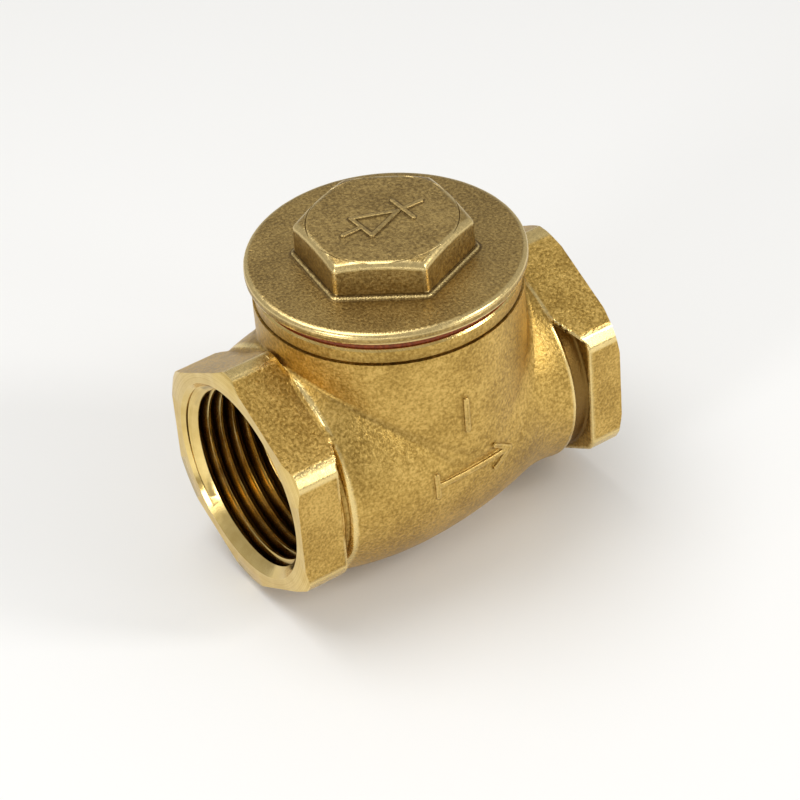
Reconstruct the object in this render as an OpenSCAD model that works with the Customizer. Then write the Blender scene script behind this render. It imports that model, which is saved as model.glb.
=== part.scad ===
// Swing check valve for a 1 inch pipe: forged brass body with two threaded ports in line,
// a flap that hangs on a pin inside, and a screwed cap above it.
// The origin is the centre of the inlet's end face. +X is the flow and +Z goes up through the cap.

/* [Ports] */
// Distance between the two end faces
overall_length = 63; // [62:0.5:66]
// Radius of the plain wall inside the pipe thread, at the thread's crests
thread_r = 15.15; // [14.9:0.05:15.3]
// Depth of the pipe thread from the end face
thread_depth = 12.6; // [11.8:0.1:12.8]
// Radius at which the lead-in chamfer meets the end face
mouth_r = 17.2; // [16.8:0.1:17.6]
// Distance across the flats of both end hexagons
wrench_flats = 38; // [37.6:0.1:39]
// Width of the inlet's hexagon along the flow
inlet_hex_w = 8; // [7.5:0.1:8.1]
// Width of the outlet's hexagon along the flow
outlet_hex_w = 6.2; // [5.6:0.1:7]

/* [Barrel] */
// Greatest outer radius of the barrel, on the inlet's side
barrel_r = 22.1; // [21.8:0.1:22.6]
// Outer radius at the waist before the outlet
waist_r = 18.65; // [18.4:0.05:19]
// Outer radius at the bottom of the groove behind the outlet's hexagon
groove_r = 18.2; // [18:0.1:18.4]

/* [Neck and cap] */
// Outer radius of the upright neck
neck_r = 21.9; // [21.7:0.05:22]
// Height of the neck's rim above the flow axis
rim_z = 27.3; // [27.1:0.1:27.6]
// Radius of the cap's flange
flange_r = 22.7; // [22.5:0.05:22.9]
// Thickness of the cap's flange
flange_t = 1.9; // [1.7:0.1:2.2]
// Thickness of the gasket under the flange
gasket_t = 1.8; // [1.6:0.1:2]
// Distance across the flats of the cap's hexagon
cap_flats = 25.3; // [24:0.1:26]
// Height of the cap's hexagon above the flange
cap_hex_h = 6.5; // [6:0.1:6.8]
// How far the cap's hexagon stands turned from the flow, in degrees
cap_turn = 23; // [0:1:59]
// Pitch radius of the cap's thread
cap_thread_r = 17.5; // [17.3:0.05:17.7]

/* [Flap] */
// Lean of the seat from upright, so that the flap closes by its own weight, in degrees
seat_lean = 6; // [5:0.5:7]
// Radius of the hole through the seat
seat_hole_r = 12; // [11.6:0.1:12.2]
// Outer radius of the flap's disc
disc_r = 14.3; // [14:0.1:14.4]
// Distance of the hinge pin from the inlet's end face
pin_x = 20; // [19.9:0.05:20.2]
// Height of the hinge pin above the flow axis
pin_z = 18.5; // [18.3:0.05:18.6]
// Radius of the hinge pin
pin_r = 1.5; // [1.4:0.05:1.55]
// Opening of the flap that is drawn, in degrees
flap_open = 0; // [0:1:65]

/* [Hidden] */
$fn = 96;

// Clearances of the running fits and the small laps that keep cuts open
running_gap = 0.04;
lap = 0.5;

// Hexagons and their turned corners
corner_r = wrench_flats / 2 / cos(30);
corner_turning = 0.35;
corner_round_r = corner_r - corner_turning;
end_face_r = 20;
corner_slope = 0.55;
cap_corner_r = cap_flats / 2 / cos(30);
cap_corner_round_r = cap_corner_r - corner_turning;
cap_top_slope = 0.3;

// Barrel outline: a long bulge towards the inlet that runs into a hollow waist before the outlet
bulge_x = 24.5;
bulge_inlet_r = 56;
waist_x = 50;
waist_curve_r = 17;
bulge_drop = barrel_r - waist_r;
curves_sum = (pow(waist_x - bulge_x, 2) + pow(bulge_drop, 2)) / (2 * bulge_drop);
bulge_outlet_r = curves_sum - waist_curve_r;
meet_x = bulge_x + (waist_x - bulge_x) * bulge_outlet_r / curves_sum;
inlet_groove_w = 1;
outlet_groove_w = 2.7;
barrel_x0 = inlet_hex_w + inlet_groove_w;
barrel_x1 = overall_length - outlet_hex_w - outlet_groove_w;
inlet_groove_r = wrench_flats / 2;
outline_steps = 22;

// Neck and cap
cap_x = overall_length / 2;
collar_h = 2.3;
collar_r = 21.55;
collar_groove_h = 0.35;
collar_groove_r = 21.1;
flange_z = rim_z + gasket_t;
flange_top_z = flange_z + flange_t;
flange_round = 0.7;
gasket_r = 21;
plug_root_r = 17;
plug_depth = 5;
plug_bottom_z = rim_z - plug_depth;
plug_thread_h = 4.6;
plug_run_out = 0.4;
neck_thread_z = plug_bottom_z - plug_run_out;
cap_hollow_r = 14.4;
cap_hollow_z = 26.5;
cap_crown_r = 9;
cap_crown_z = 32;
cap_crown_lap = 2;
cap_top_circle_r = 12.2;

// Hollows in the body
chamber_r = 16.6;
chamber_shift = 1.1;
cavity_x0 = 20.2;
cavity_r = 15.6;
swing_r = 17.2;
swing_x0 = 24.5;
swing_x1 = 47.5;
seat_x = 17.2;
seat_land_r = 13.8;
seat_land_h = 1;
seat_cavity_r = 15.4;
seat_cavity_h = 9;
shoulder_run = 1.4;
chamfer_run = mouth_r - thread_r;

// Hinge pin and its plug
pin_end_y = -13.6;
plug_thread_y = 10.8;
plug_tap_y = 8.8;
plug_face_y = 14.5;
plug_thread_r = 2.95;
plug_head_r = 3.8;
plug_head_h = 1.4;
plug_ring_t = 0.5;
plug_head_y = plug_face_y + plug_ring_t;
plug_socket_y = 13.2;
spot_face_r = 4.2;
slot_w = 1;
slot_d = 0.8;

// Flap, along its own axis from the seat's face
seal_t = 2;
seal_r = 13.7;
plate_t = 2.6;
rim_drop = 0.7;
arm_play = 0.25;
arm_t = 2.5;
stud_r = 3;
stud_hole_r = stud_r + running_gap;
washer_t = 0.8;
washer_r = 5.4;
nut_flats = 9;
nut_t = 3;
stud_over = 0.8;
retainer_r = 9.5;
retainer_t = 1.2;
screw_r = 2;
screw_head_r = 3.6;
screw_head_h = 1.7;
screw_depth = 2.4;
arm_hub_r = 2.9;
arm_hub_w = 8;
arm_eye_r = 5.6;
arm_web_w = 6;
web_shoulder = 1.5;
web_top = [0.8, 1.8];
web_heel = [0.6, 2];
web_foot = 3.2;
arm_u0 = seal_t + plate_t + arm_play;
arm_u1 = arm_u0 + arm_t;
washer_u = arm_u1 + arm_play;
nut_u = washer_u + washer_t;
stud_u = nut_u + nut_t + stud_over;

// Outer radius of the barrel at a distance x from the inlet's end face
function barrel_outline(x) =
    x < bulge_x ? barrel_r - bulge_inlet_r + sqrt(pow(bulge_inlet_r, 2) - pow(x - bulge_x, 2))
    : x < meet_x ? barrel_r - bulge_outlet_r + sqrt(pow(bulge_outlet_r, 2) - pow(x - bulge_x, 2))
    : waist_r + waist_curve_r - sqrt(pow(waist_curve_r, 2) - pow(x - waist_x, 2));

// Turns a shape that was made along +Z onto the flow axis
module along_flow(x) {
    translate([x, 0, 0]) rotate([0, 90, 0]) children();
}

// Turns a shape that was made along +Z onto the seat's axis, from the seat's face
module on_seat(u) {
    translate([seat_x, 0, 0]) rotate([0, 90 - seat_lean, 0]) translate([0, 0, u]) children();
}

// Moves a piece of the flap from its closed place to the drawn opening
module swung() {
    translate([pin_x, 0, pin_z]) rotate([0, -flap_open, 0]) translate([-pin_x, 0, -pin_z]) children();
}

module barrel() {
    step = (barrel_x1 - barrel_x0) / outline_steps;
    outline = [for (i = [0:outline_steps]) let(x = barrel_x0 + i * step) [barrel_outline(x), x]];
    rotate([0, 90, 0]) rotate_extrude() polygon(concat([[0, barrel_x0]], outline, [[0, barrel_x1]]));
}

// Hexagon end whose corners are turned round, with a chamfer towards the end face at z = 0
module wrench_end(width) {
    slope_run = (corner_round_r - end_face_r) * corner_slope;
    intersection() {
        cylinder(r = corner_r, h = width, $fn = 6);
        union() {
            cylinder(r1 = end_face_r, r2 = corner_round_r, h = slope_run);
            translate([0, 0, slope_run]) cylinder(r = corner_round_r, h = width - slope_run);
        }
    }
}

module neck() {
    groove_z = rim_z - collar_h - collar_groove_h;
    translate([cap_x, 0, 0]) {
        cylinder(r = neck_r, h = groove_z);
        cylinder(r = collar_groove_r, h = rim_z - lap);
        translate([0, 0, rim_z - collar_h]) cylinder(r = collar_r, h = collar_h);
    }
}

module port_hollow() {
    translate([0, 0, -lap]) cylinder(r1 = mouth_r + lap, r2 = thread_r, h = chamfer_run + lap);
    cylinder(r = thread_r, h = thread_depth);
}

module seat_hollow() {
    along_flow(thread_depth) cylinder(r1 = thread_r, r2 = seat_hole_r, h = shoulder_run);
    along_flow(thread_depth) cylinder(r = seat_hole_r, h = seat_x);
    difference() {
        on_seat(-seat_land_h) cylinder(r = seat_cavity_r, h = seat_cavity_h);
        on_seat(-seat_land_h - lap) cylinder(r = seat_land_r, h = seat_land_h + lap);
    }
}

module flap_hollow() {
    swing_run = swing_r - cavity_r;
    along_flow(cavity_x0) cylinder(r = cavity_r, h = overall_length - thread_depth - cavity_x0);
    along_flow(swing_x0) cylinder(r1 = cavity_r, r2 = swing_r, h = swing_run);
    along_flow(swing_x0 + swing_run) cylinder(r = swing_r, h = swing_x1 - swing_x0 - 2 * swing_run);
    along_flow(swing_x1 - swing_run) cylinder(r1 = swing_r, r2 = cavity_r, h = swing_run);
}

module neck_hollow() {
    translate([cap_x, 0, 0]) {
        translate([chamber_shift, 0, 0]) cylinder(r = chamber_r, h = neck_thread_z + lap);
        translate([0, 0, neck_thread_z]) cylinder(r = cap_thread_r, h = rim_z - neck_thread_z + lap);
    }
}

module pin_hollow() {
    translate([pin_x, 0, pin_z]) rotate([-90, 0, 0]) {
        translate([0, 0, pin_end_y]) cylinder(r = pin_r, h = plug_thread_y - pin_end_y + lap);
        translate([0, 0, plug_tap_y]) cylinder(r = plug_thread_r, h = plug_face_y - plug_tap_y);
        translate([0, 0, plug_face_y]) cylinder(r = spot_face_r, h = neck_r);
    }
}

// Forged brass body with its bored and threaded hollows
module body() {
    color("goldenrod") difference() {
        union() {
            barrel();
            neck();
            wrench_in();
            wrench_out();
            along_flow(inlet_hex_w - lap) cylinder(r = inlet_groove_r, h = inlet_groove_w + 2 * lap);
            along_flow(barrel_x1 - lap) cylinder(r = groove_r, h = overall_length - barrel_x1);
        }
        along_flow(0) port_hollow();
        translate([overall_length, 0, 0]) rotate([0, -90, 0]) port_hollow();
        seat_hollow();
        flap_hollow();
        neck_hollow();
        pin_hollow();
    }
}

module wrench_in() {
    along_flow(0) wrench_end(inlet_hex_w);
}

module wrench_out() {
    translate([overall_length, 0, 0]) rotate([0, -90, 0]) wrench_end(outlet_hex_w);
}

// Turned outline of the cap: threaded plug, undercut, rounded flange and the hollow below
module cap_turning() {
    rotate_extrude() polygon(concat(
        [[cap_hollow_r, plug_bottom_z], [cap_thread_r - running_gap, plug_bottom_z],
         [cap_thread_r - running_gap, plug_bottom_z + plug_thread_h],
         [plug_root_r, plug_bottom_z + plug_thread_h], [plug_root_r, flange_z],
         [flange_r - flange_round / 2, flange_z], [flange_r, flange_z + flange_round / 2]],
        [for (a = [0:18:90]) [flange_r - flange_round * (1 - cos(a)),
                              flange_top_z - flange_round * (1 - sin(a))]],
        [[0, flange_top_z], [0, cap_crown_z - cap_crown_lap],
         [cap_crown_r, cap_crown_z - cap_crown_lap], [cap_hollow_r, cap_hollow_z]]));
}

module cap() {
    slope_h = (cap_corner_round_r - cap_top_circle_r) * cap_top_slope;
    slope_z = flange_top_z + cap_hex_h - slope_h;
    color("darkgoldenrod") translate([cap_x, 0, 0]) difference() {
        union() {
            cap_turning();
            intersection() {
                translate([0, 0, flange_top_z - lap]) rotate([0, 0, cap_turn])
                    cylinder(r = cap_corner_r, h = cap_hex_h + lap, $fn = 6);
                union() {
                    cylinder(r = cap_corner_round_r, h = slope_z);
                    translate([0, 0, slope_z])
                        cylinder(r1 = cap_corner_round_r, r2 = cap_top_circle_r, h = slope_h);
                }
            }
        }
        translate([0, 0, cap_hollow_z])
            cylinder(r1 = cap_hollow_r, r2 = cap_crown_r, h = cap_crown_z - cap_hollow_z);
    }
}

module cap_gasket() {
    color("sienna") translate([cap_x, 0, rim_z]) difference() {
        cylinder(r = gasket_r, h = gasket_t);
        translate([0, 0, -lap]) cylinder(r = cap_thread_r, h = gasket_t + 2 * lap);
    }
}

module hinge_pin() {
    color("silver") translate([pin_x, pin_end_y, pin_z]) rotate([-90, 0, 0])
        cylinder(r = pin_r, h = plug_socket_y - pin_end_y);
}

module pin_plug() {
    color("goldenrod") translate([pin_x, 0, pin_z]) rotate([-90, 0, 0]) difference() {
        union() {
            translate([0, 0, plug_thread_y]) cylinder(r = plug_thread_r, h = plug_head_y - plug_thread_y);
            translate([0, 0, plug_head_y]) cylinder(r = plug_head_r, h = plug_head_h);
        }
        translate([0, 0, plug_thread_y - lap]) cylinder(r = pin_r, h = plug_socket_y - plug_thread_y + lap);
        translate([-plug_head_r, -slot_w / 2, plug_head_y + plug_head_h - slot_d])
            cube([2 * plug_head_r, slot_w, slot_d + lap]);
    }
}

module pin_plug_gasket() {
    color("chocolate") translate([pin_x, plug_face_y, pin_z]) rotate([-90, 0, 0]) difference() {
        cylinder(r = plug_head_r, h = plug_ring_t);
        translate([0, 0, -lap]) cylinder(r = plug_thread_r, h = plug_ring_t + 2 * lap);
    }
}

// Brass arm: a hub on the pin, a web down the disc's back and an eye round the stud
module hinge_arm() {
    pin_hole_r = pin_r + running_gap;
    color("peru") swung() difference() {
        union() {
            across_pin(arm_hub_w) cylinder(r = arm_hub_r, h = arm_hub_w);
            on_seat(arm_u0) cylinder(r = arm_eye_r, h = arm_t);
            arm_web();
        }
        across_pin(2 * arm_hub_w) cylinder(r = pin_hole_r, h = 2 * arm_hub_w);
        on_seat(arm_u0 - lap) cylinder(r = stud_hole_r, h = arm_t + 2 * lap);
    }
}

// Turns a shape of the given length, made along +Z, onto the pin and centres it
module across_pin(length) {
    translate([pin_x, -length / 2, pin_z]) rotate([-90, 0, 0]) children();
}

module arm_web() {
    hub_u = (pin_x - seat_x) * cos(seat_lean) + pin_z * sin(seat_lean);
    hub_v = pin_z * cos(seat_lean) - (pin_x - seat_x) * sin(seat_lean);
    translate([seat_x, 0, 0]) rotate([0, -seat_lean, 0]) translate([0, arm_web_w / 2, 0])
        rotate([90, 0, 0]) linear_extrude(arm_web_w)
            polygon([[arm_u0, 0], [arm_u1, 0], [arm_u1, hub_v - web_shoulder],
                     [hub_u + web_top[0], hub_v + web_top[1]],
                     [hub_u - web_heel[0], hub_v - web_heel[1]], [arm_u0, hub_v - web_foot]]);
}

// Brass disc with a recess for the seal in front and a threaded stud behind
module disc() {
    color("goldenrod") swung() difference() {
        union() {
            on_seat(rim_drop) cylinder(r = disc_r, h = seal_t + plate_t - rim_drop);
            on_seat(seal_t) cylinder(r = stud_r, h = stud_u - seal_t);
        }
        on_seat(rim_drop - lap) cylinder(r = seal_r, h = seal_t - rim_drop + lap);
        on_seat(0) cylinder(r = screw_r, h = seal_t + screw_depth);
    }
}

module disc_seal() {
    color("dimgray") swung() difference() {
        on_seat(0) cylinder(r = seal_r, h = seal_t);
        on_seat(-lap) cylinder(r = screw_r, h = seal_t + 2 * lap);
    }
}

module seal_retainer() {
    color("goldenrod") swung() difference() {
        on_seat(-retainer_t) cylinder(r = retainer_r, h = retainer_t);
        on_seat(-retainer_t - lap) cylinder(r = screw_r, h = retainer_t + 2 * lap);
    }
}

module retainer_screw() {
    color("silver") swung() difference() {
        union() {
            on_seat(-retainer_t - screw_head_h) cylinder(r = screw_head_r, h = screw_head_h);
            on_seat(-retainer_t) cylinder(r = screw_r, h = retainer_t + seal_t + screw_depth);
        }
        on_seat(-retainer_t - screw_head_h - lap) translate([-screw_head_r, -slot_w / 2, 0])
            cube([2 * screw_head_r, slot_w, slot_d + lap]);
    }
}

module arm_washer() {
    color("silver") swung() difference() {
        on_seat(washer_u) cylinder(r = washer_r, h = washer_t);
        on_seat(washer_u - lap) cylinder(r = stud_r, h = washer_t + 2 * lap);
    }
}

module arm_nut() {
    color("goldenrod") swung() difference() {
        on_seat(nut_u) cylinder(r = nut_flats / 2 / cos(30), h = nut_t, $fn = 6);
        on_seat(nut_u - lap) cylinder(r = stud_r, h = nut_t + 2 * lap);
    }
}

body();
cap();
cap_gasket();
hinge_pin();
pin_plug();
pin_plug_gasket();
hinge_arm();
disc();
disc_seal();
seal_retainer();
retainer_screw();
arm_washer();
arm_nut();
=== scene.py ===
import math
import bpy
import numpy as np
from mathutils import Matrix, Vector


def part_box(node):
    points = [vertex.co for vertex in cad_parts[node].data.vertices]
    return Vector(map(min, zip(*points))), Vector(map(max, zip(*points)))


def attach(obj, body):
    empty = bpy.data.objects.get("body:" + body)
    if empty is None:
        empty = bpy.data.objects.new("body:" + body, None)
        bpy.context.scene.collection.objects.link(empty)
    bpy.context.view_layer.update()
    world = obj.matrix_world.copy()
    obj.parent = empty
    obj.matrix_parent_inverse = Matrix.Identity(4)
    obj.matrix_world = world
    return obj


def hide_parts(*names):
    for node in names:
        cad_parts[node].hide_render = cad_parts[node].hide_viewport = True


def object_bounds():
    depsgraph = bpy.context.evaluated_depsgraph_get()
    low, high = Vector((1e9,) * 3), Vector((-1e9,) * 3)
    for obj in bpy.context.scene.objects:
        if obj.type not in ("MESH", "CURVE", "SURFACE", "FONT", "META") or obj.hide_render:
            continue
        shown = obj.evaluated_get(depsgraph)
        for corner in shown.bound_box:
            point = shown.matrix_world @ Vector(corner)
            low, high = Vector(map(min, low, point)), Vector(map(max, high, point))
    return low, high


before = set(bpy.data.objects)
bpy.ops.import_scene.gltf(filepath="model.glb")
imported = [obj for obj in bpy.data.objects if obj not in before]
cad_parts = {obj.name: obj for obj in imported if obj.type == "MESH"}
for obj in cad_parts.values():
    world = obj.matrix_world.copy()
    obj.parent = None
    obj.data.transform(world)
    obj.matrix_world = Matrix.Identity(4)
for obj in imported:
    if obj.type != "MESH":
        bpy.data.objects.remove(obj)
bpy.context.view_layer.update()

# Swing check valve for a 1 inch pipe. X is the flow, Z goes up through the cap, and the origin is
# the centre of the inlet's end face. Sizes are written in millimetres and become metres in a mesh.
MM = 0.001


# ---- Forged body: the skin ---------------------------------------------------------------------
# One hot forging in yellow brass, shot-blasted: a bulging barrel between two hexagon ends, with an
# upright round neck. Its skin is made from the distance to its surface, so that neck, barrel and
# hexagons run into each other with the fillets and soft edges that a forging die leaves.

body_high = np.array(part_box("body")[1]) / MM
overall_length = body_high[0]
rim_z = body_high[2]
cap_x = overall_length / 2
wrench_flats = 38.0
hex_corner_r = 21.3
hex_corner_round = 0.2
hex_edge_round = 0.4
hex_corner_z = 10.6
inlet_heel_slope = 0.57
inlet_heel_run = 1.3
outlet_heel_slope = 0.95
outlet_heel_run = 3.2
inlet_hex_w = 8.0
outlet_hex_w = 6.2
hex_heel_r = 18.7
hex_foot_fillet = 0.45
outlet_groove_r = 18.2
groove_fillet = 0.3
# How much painted shade darkens the groove in front of the outlet's hexagon.
groove_shade = 3.0
core_lap = 0.5
barrel_x0 = 9.0
barrel_x1 = 54.1
barrel_edge_round = 0.8
barrel_r = 22.1
bulge_x = 24.5
bulge_inlet_r = 56.0
waist_r = 18.65
waist_x = 50.0
waist_curve_r = 17.0
neck_r = 21.9
neck_end_round = 3.0
crease_r = 0.4
crease_widens = 0.9
crease_x = cap_x + 3
crease_run = 14.0
collar_r = 21.55
collar_h = 2.3
collar_groove_r = 21.1
collar_groove_h = 0.35
turning_stock = 1.2
end_face_r = 20.0
turned_corner_r = 21.6
skin_depth = 0.04
body_wave_h = 0.008


def fillet(a, b, r):
    """Joins two distances, with a hollow fillet of radius r between them."""
    reach = np.hypot(np.maximum(r - a, 0), np.maximum(r - b, 0))
    return np.maximum(r, np.minimum(a, b)) - reach


def rounded(a, b, r):
    """Keeps what two distances share, with an edge of radius r between them."""
    reach = np.hypot(np.maximum(r + a, 0), np.maximum(r + b, 0))
    return np.minimum(-r, np.maximum(a, b)) + reach


def hexagon(across, along, flats, corner_round):
    """Distance to a hexagon that has a corner on its along axis, with rounded corners."""
    half = flats / 2 - corner_round
    a, b = np.abs(along), np.abs(across)
    fold = 2 * np.minimum(b / 2 - a * math.sqrt(0.75), 0)
    a = a + fold * math.sqrt(0.75)
    b = b - fold / 2
    half_side = half / math.sqrt(3)
    a = a - np.clip(a, -half_side, half_side)
    b = b - half
    return np.hypot(a, b) * np.sign(b) - corner_round


def smooth_step(t):
    """Goes from 0 to 1 as t does, level at both ends."""
    t = np.clip(t, 0, 1)
    return t * t * (3 - 2 * t)


def barrel_outline(x):
    """Radius and slope of the barrel: a long bulge that runs into a hollow waist."""
    drop = barrel_r - waist_r
    arcs = ((waist_x - bulge_x) ** 2 + drop ** 2) / (2 * drop)
    bulge_outlet_r = arcs - waist_curve_r
    meet_x = bulge_x + (waist_x - bulge_x) * bulge_outlet_r / arcs
    bulge = np.where(x < bulge_x, bulge_inlet_r, bulge_outlet_r)
    on_bulge = np.clip(x, bulge_x - 30, meet_x) - bulge_x
    on_waist = np.clip(x, meet_x, overall_length) - waist_x
    bulge_rise = np.sqrt(bulge ** 2 - on_bulge ** 2)
    waist_rise = np.sqrt(waist_curve_r ** 2 - on_waist ** 2)
    radius = np.where(x < meet_x, barrel_r - bulge + bulge_rise, waist_r + waist_curve_r - waist_rise)
    slope = np.where(x < meet_x, -on_bulge / bulge_rise, on_waist / waist_rise)
    return radius, slope


def forging_waves(points, height):
    """The slight unevenness of a forged and blasted face."""
    x, y, z = points[..., 0], points[..., 1], points[..., 2]
    waves = np.sin(0.9 * x + 1.3 * y + 0.4) * np.sin(1.1 * z - 0.7 * x + 1.9)
    waves = waves + np.sin(2.3 * y - 1.7 * z + 0.8) * np.sin(1.9 * x + 0.6 * z + 2.7)
    return height * waves


def forged_body(points):
    """Distance to the forging before it is machined, with stock on the faces that get turned."""
    x, y, z = points[..., 0], points[..., 1], points[..., 2]
    from_flow = np.hypot(y, z)
    from_cap = np.hypot(x - cap_x, y)
    radius, slope = barrel_outline(x)
    barrel = (from_flow - radius) / np.hypot(1, slope)
    barrel = rounded(barrel, np.maximum(barrel_x0 - x, x - barrel_x1), barrel_edge_round)
    neck = rounded(from_cap - neck_r, -z, neck_end_round)
    neck = np.maximum(neck, z - rim_z - turning_stock)
    shape = fillet(barrel, neck, crease_r + crease_widens * smooth_step((x - crease_x) / crease_run))
    hexagons = hexagon(y, z, wrench_flats, hex_corner_round)
    hexagons = rounded(hexagons, from_flow - hex_corner_r, hex_corner_round)
    over_corner = np.maximum(z - hex_corner_z, 0)
    from_outlet = overall_length - x
    inlet_heel = x - inlet_hex_w - np.minimum(inlet_heel_slope * over_corner, inlet_heel_run)
    outlet_heel = from_outlet - outlet_hex_w - np.minimum(outlet_heel_slope * over_corner, outlet_heel_run)
    inlet = rounded(hexagons, np.maximum(-turning_stock - x, inlet_heel), hex_edge_round)
    outlet = rounded(hexagons, np.maximum(outlet_heel, -turning_stock - from_outlet), hex_edge_round)
    core = from_flow - np.where(x < cap_x, hex_heel_r, outlet_groove_r)
    core = np.maximum(core, np.maximum(inlet_hex_w - core_lap - x, outlet_hex_w - core_lap - from_outlet))
    shape = fillet(shape, core, groove_fillet)
    shape = fillet(shape, np.minimum(inlet, outlet), hex_foot_fillet)
    return shape + skin_depth + forging_waves(points, body_wave_h)


def surface_mesh(name, distance, lines):
    """A closed mesh of the surface where distance(points) is zero. It has one point in each grid cell
    that the surface crosses, slid onto the surface and evened out. lines are the grid's X, Y and Z."""
    grid = np.stack(np.meshgrid(*lines, indexing="ij"), axis=-1)
    inside = distance(grid) < 0
    shape = np.array(inside.shape) - 1
    corners = np.zeros(shape, int)
    for corner in range(8):
        i, j, k = corner & 1, corner >> 1 & 1, corner >> 2
        corners += inside[i:i + shape[0], j:j + shape[1], k:k + shape[2]]
    crossed = (corners > 0) & (corners < 8)
    number = np.full(shape, -1)
    number[crossed] = np.arange(crossed.sum())
    cells = np.argwhere(crossed)
    points = np.stack([(lines[n][cells[:, n]] + lines[n][cells[:, n] + 1]) / 2 for n in range(3)], axis=1)
    quads = []
    for n in range(3):
        a, b = np.eye(3, dtype=int)[[(n + 1) % 3, (n + 2) % 3]]
        below, above = (np.take(inside, r, axis=n) for r in (range(shape[n]), range(1, shape[n] + 1)))
        ways_out = ((below & ~above, (a + b, b, 0 * a, a)), (above & ~below, (a, 0 * a, b, a + b)))
        for leaving, order in ways_out:
            edges = np.argwhere(leaving)
            quads.append(np.stack([number[tuple((edges - step).T)] for step in order], axis=1))
    quads = np.concatenate(quads)
    sides = np.concatenate([quads[:, [0, 1]], quads[:, [1, 2]], quads[:, [2, 3]], quads[:, [3, 0]]])
    neighbours = np.bincount(sides[:, 0], minlength=len(points))
    for even_out in (0, 0, 0.5, 0.5, 0.5, 0):
        if even_out:
            mean = np.stack([np.bincount(sides[:, 0], points[sides[:, 1], n]) for n in range(3)], axis=1)
            points = points + even_out * (mean / neighbours[:, None] - points)
        for _ in range(2):
            points = points - distance(points)[:, None] * slope_of(distance, points)
    return new_mesh(name, points, quads)


def slope_of(distance, points, reach=0.02):
    """Unit vector away from the surface at each point."""
    moves = reach * np.eye(3)
    slope = np.stack([distance(points + m) - distance(points - m) for m in moves], axis=-1)
    return slope / np.maximum(np.linalg.norm(slope, axis=-1, keepdims=True), 1e-9)


def new_mesh(name, points, faces):
    """A mesh object from points in millimetres."""
    mesh = bpy.data.meshes.new(name)
    mesh.from_pydata((np.asarray(points) * MM).tolist(), [], [list(f) for f in faces])
    piece = bpy.data.objects.new(name, mesh)
    bpy.context.scene.collection.objects.link(piece)
    return piece


def grid_line(*stretches, end):
    """Grid coordinates from stretches of (start, spacing)."""
    stops = [start for start, _ in stretches[1:]] + [end]
    runs = [np.linspace(start, stop, max(round((stop - start) / spacing), 1), endpoint=False)
            for (start, spacing), stop in zip(stretches, stops)]
    return np.concatenate(runs + [[end]])


def stroke(u, v, start, end, width):
    """Distance in a plane to a straight stroke with round ends."""
    du, dv = end[0] - start[0], end[1] - start[1]
    along = np.clip(((u - start[0]) * du + (v - start[1]) * dv) / (du * du + dv * dv), 0, 1)
    return np.hypot(u - start[0] - along * du, v - start[1] - along * dv) - width / 2


mark_edge_round, mark_root = 0.16, 0.4


def raised(outline, base, height):
    """Distance to a mark that stands up from a base surface and is rooted a little way into it."""
    return np.maximum(rounded(outline, base - height, mark_edge_round), -base - mark_root)


arrow_tail_x, arrow_head_x, arrow_z = 23.8, 38.8, 0.6
arrow_tail_half, arrow_tip_drop = 2.0, 0.3
arrow_barb, arrow_barb_run = 2.3, 3.2
arrow_w = 0.95
mark_height = 0.42


def flow_arrow(points):
    """The arrow on the near side of the belly: a tail bar, a shaft and a head with two barbs."""
    x, z = points[..., 0], points[..., 2]
    tail, tip = (arrow_tail_x, arrow_z), (arrow_head_x, arrow_z - arrow_tip_drop)
    tail_ends = [(arrow_tail_x, arrow_z + side * arrow_tail_half) for side in (-1, 1)]
    barbs = [(tip, (tip[0] - arrow_barb_run, tip[1] + side * arrow_barb)) for side in (-1, 1)]
    strokes = [(tail, tip), tail_ends, *barbs]
    outline = np.minimum.reduce([stroke(x, z, start, end, arrow_w) for start, end in strokes])
    return raised(outline, forged_body(points), mark_height)


size_bar_x, size_bar_z0, size_bar_z1, size_bar_w = 30.4, 8.8, 14.6, 1.0


def size_bar(points):
    """A plain raised bar on the neck, where such a valve has its size."""
    x, z = points[..., 0], points[..., 2]
    outline = stroke(x, z, (size_bar_x, size_bar_z0), (size_bar_x, size_bar_z1), size_bar_w)
    return raised(outline, forged_body(points), mark_height)


far_off = 50.0


def body_marks(points):
    """Distance to the raised marks, which are on the near side only."""
    return np.where(points[..., 1] < 0, np.minimum(flow_arrow(points), size_bar(points)), far_off)


# The grid is fine where the hexagons meet the barrel, and finest for the marks.
coarse, fine, finest = 0.5, 0.22, 0.18
skin_x0, heel_x0, heel_x1, groove_x0, groove_x1, skin_x1 = -2.1, 7.2, 9.8, 53.4, 57.4, 65.1
skin_reach, skin_top, mark_y0 = 23.1, 29.1, -23
body = surface_mesh("body", forged_body, [
    grid_line((skin_x0, coarse), (heel_x0, fine), (heel_x1, coarse), (groove_x0, fine), (groove_x1, coarse),
              end=skin_x1),
    grid_line((-skin_reach, coarse), end=skin_reach),
    grid_line((-skin_reach, coarse), end=skin_top)])
arrow = surface_mesh("arrow", flow_arrow, [
    grid_line((arrow_tail_x - 1, finest), end=arrow_head_x + 1.2), grid_line((mark_y0, finest), end=-19),
    grid_line((arrow_z - 3.4, finest), end=arrow_z + 3)])
bar = surface_mesh("bar", size_bar, [
    grid_line((size_bar_x - 1, finest), end=size_bar_x + 1), grid_line((mark_y0, finest), end=-20.5),
    grid_line((size_bar_z0 - 1, finest), end=size_bar_z1 + 1)])


# ---- Forged body: machining --------------------------------------------------------------------
# The ends are faced, the corners and the collar turned, and both ports bored and tapped with 1 inch
# pipe thread. The seat, the chamber, the neck's thread and the hinge pin's hole follow. Every tool
# is a turned solid that is taken out of the forging.

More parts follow.
